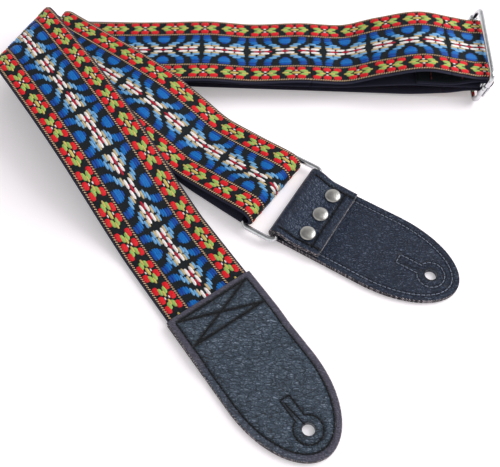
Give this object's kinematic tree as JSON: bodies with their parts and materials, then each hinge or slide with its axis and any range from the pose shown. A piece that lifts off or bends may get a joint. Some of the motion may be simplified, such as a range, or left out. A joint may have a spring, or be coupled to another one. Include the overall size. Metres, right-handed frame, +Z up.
{
  "type": "guitar strap",
  "caption": "Adjustable guitar strap of folk-pattern woven ribbon on dark webbing, with leather button-hole tabs, a rectangular ring and a wire slider, lying folded.",
  "frame": {"origin": "centre of the part's box in plan, on the table it lies on", "axes": "+Z up from the table, +X along the slider's runs towards the slider, +Y away from the leather tabs"},
  "size_m": [0.3036, 0.2852, 0.0329],
  "materials": {
    "webbing": "matt",
    "ribbon": "satin thread",
    "leather": "grained",
    "nickel": "polished",
    "chrome": "polished"
  },
  "bodies": {
    "strap": {"webbing_front_run": "webbing", "webbing_outer_bend": "webbing", "webbing_base_run": "webbing", "webbing_base_slack": "webbing", "webbing_upper_slack": "webbing", "webbing_upper_run": "webbing", "webbing_inner_bend": "webbing", "webbing_under_run": "webbing", "webbing_ring_loop": "webbing", "webbing_over_run": "webbing", "webbing_middle_bend": "webbing", "webbing_return_run": "webbing", "webbing_return_slack": "webbing", "ribbon_front_run": "ribbon", "ribbon_outer_bend": "ribbon", "ribbon_base_run": "ribbon", "ribbon_base_slack": "ribbon", "ribbon_upper_slack": "ribbon", "ribbon_upper_run": "ribbon", "ribbon_inner_bend": "ribbon", "ribbon_under_run": "ribbon", "ribbon_ring_loop": "ribbon", "ribbon_over_run": "ribbon", "ribbon_middle_bend": "ribbon", "ribbon_return_run": "ribbon", "ribbon_return_slack": "ribbon", "front_tab_top": "leather", "front_tab_back": "leather"},
    "slider": {"webbing_slider_turn": "webbing", "webbing_anchor_loop": "webbing", "ribbon_slider_turn": "ribbon", "ribbon_anchor_loop": "ribbon", "slider_frame": "chrome", "slider_bar": "chrome"},
    "ring": {"strap_ring": "chrome"},
    "rear_tab": {"rear_tab_outer": "leather", "rear_tab_inner": "leather", "rivet_cap_1": "nickel", "rivet_back_1": "nickel", "rivet_cap_2": "nickel", "rivet_back_2": "nickel", "rivet_cap_3": "nickel", "rivet_back_3": "nickel"}
  },
  "joints": [
    {"name": "ring_swing", "type": "hinge", "parent": "strap", "child": "ring", "pos_m": [0.01203, 0.00972, 0.005], "axis": [-0.524, -0.8517, 0], "range_deg": [0, 80]},
    {"name": "rear_tab_swing", "type": "hinge", "parent": "ring", "child": "rear_tab", "pos_m": [0.02907, -0.00076, 0.005], "axis": [-0.524, -0.8517, 0], "range_deg": [0, 80]},
    {"name": "slider_slide", "type": "slide", "parent": "strap", "child": "slider", "axis": [-0.9997, 0.0227, 0], "range_m": [0, 0.05], "deforming": ["webbing_base_slack", "webbing_upper_slack", "webbing_return_slack", "ribbon_base_slack", "ribbon_upper_slack", "ribbon_return_slack"]}
  ]
}
